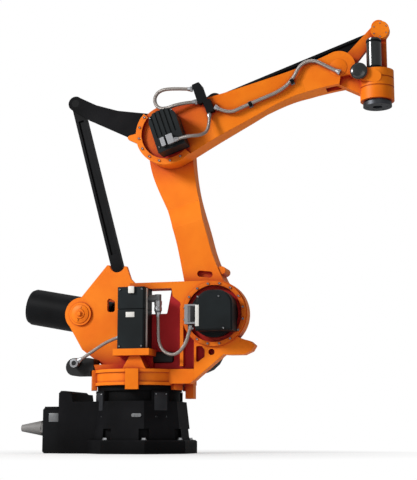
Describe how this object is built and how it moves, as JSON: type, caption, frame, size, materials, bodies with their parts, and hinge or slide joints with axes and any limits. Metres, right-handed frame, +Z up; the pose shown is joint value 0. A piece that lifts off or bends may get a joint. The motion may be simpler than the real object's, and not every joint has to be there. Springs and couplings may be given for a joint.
{
  "type": "palletising robot arm",
  "caption": "Floor-standing jointed palletising arm with a swivelling column, link arm, forearm and rods that keep its tool flange level.",
  "frame": {"origin": "on the floor under the swivel axis, at the centre of the floor bolt circle", "axes": "+X forward along the arm, +Y to the side of the levelling rods, +Z up"},
  "size_m": [2.5808, 0.7, 2.8071],
  "materials": {
    "orange_paint": "semi-gloss orange enamel over castings",
    "black_casting": "satin black paint over rough casting",
    "black_metal": "satin black",
    "bare_steel": "ground",
    "flange_steel": "phosphated, dark",
    "hose_rubber": "matt",
    "conduit_grey": "braided grey conduit"
  },
  "bodies": {
    "base": {"base_casting": "black_casting", "connector_box": "black_metal", "cable_gland": "black_metal"},
    "column": {"turntable": "orange_paint", "rear_deck": "orange_paint", "near_cheek": "orange_paint", "far_cheek": "orange_paint", "front_web": "orange_paint", "near_bracket": "orange_paint", "far_bracket": "orange_paint", "counterbalance_cylinder": "black_metal", "swivel_motor": "black_metal", "motor_ledge": "orange_paint", "shoulder_ring": "orange_paint", "shoulder_motor": "black_metal", "cable_sleeve": "hose_rubber", "shoulder_pin": "bare_steel", "foot_pin": "black_metal", "front_guard": "black_metal", "swivel_plug": "hose_rubber", "shoulder_plug": "bare_steel", "column_conduit": "conduit_grey", "rear_conduit": "conduit_grey"},
    "link_arm": {"link_arm": "orange_paint", "elbow_pin": "bare_steel"},
    "levelling_triangle": {"levelling_triangle": "black_casting", "tail_pin": "bare_steel", "top_pin": "bare_steel"},
    "lower_rod": {"lower_rod": "black_metal"},
    "upper_rod": {"upper_rod": "black_metal"},
    "forearm": {"forearm": "orange_paint", "elbow_ring": "orange_paint", "elbow_motor": "black_metal", "wrist_pin": "bare_steel", "elbow_plugs": "bare_steel", "loop_fitting": "black_metal", "conduit_clamps": "bare_steel", "elbow_conduit": "conduit_grey", "loop_conduit": "conduit_grey", "forearm_conduit": "conduit_grey"},
    "wrist": {"hand": "orange_paint", "wrist_motor": "black_metal", "lever_pin": "bare_steel", "dust_cap": "black_metal"},
    "tool_flange": {"tool_flange": "flange_steel"}
  },
  "joints": [
    {"name": "swivel", "type": "hinge", "parent": "base", "child": "column", "pos_m": [0, 0, 0.43], "axis": [0, 0, 1], "range_deg": [-180, 180]},
    {"name": "shoulder", "type": "hinge", "parent": "column", "child": "link_arm", "pos_m": [0.545, 0, 0.88], "axis": [0, 1, 0], "range_deg": [-15, 75]},
    {"name": "level_hinge", "type": "hinge", "parent": "link_arm", "child": "levelling_triangle", "pos_m": [0.22148, 0, 2.08741], "axis": [0, 1, 0], "range_deg": [-75, 15]},
    {"name": "lower_rod_hinge", "type": "hinge", "parent": "column", "child": "lower_rod", "pos_m": [-0.211, 0, 1.219], "axis": [0, 1, 0], "range_deg": [-15, 75]},
    {"name": "elbow", "type": "hinge", "parent": "levelling_triangle", "child": "forearm", "pos_m": [0.22148, 0, 2.08741], "axis": [0, 1, 0], "range_deg": [-20, 48]},
    {"name": "upper_rod_hinge", "type": "hinge", "parent": "levelling_triangle", "child": "upper_rod", "pos_m": [0.47848, 0, 2.37241], "axis": [0, 1, 0], "range_deg": [-20, 48]},
    {"name": "wrist_level", "type": "hinge", "parent": "forearm", "child": "wrist", "pos_m": [1.35678, 0, 2.47611], "axis": [0, 1, 0], "range_deg": [-48, 20]},
    {"name": "tool_turn", "type": "hinge", "parent": "wrist", "child": "tool_flange", "pos_m": [1.59678, 0, 2.21411], "axis": [0, 0, 1], "range_deg": [-350, 350]}
  ],
  "couplings": [
    {"joint": "level_hinge", "follows": "shoulder", "ratio": -1},
    {"joint": "lower_rod_hinge", "follows": "shoulder", "ratio": 1},
    {"joint": "upper_rod_hinge", "follows": "elbow", "ratio": 1},
    {"joint": "wrist_level", "follows": "elbow", "ratio": -1}
  ]
}
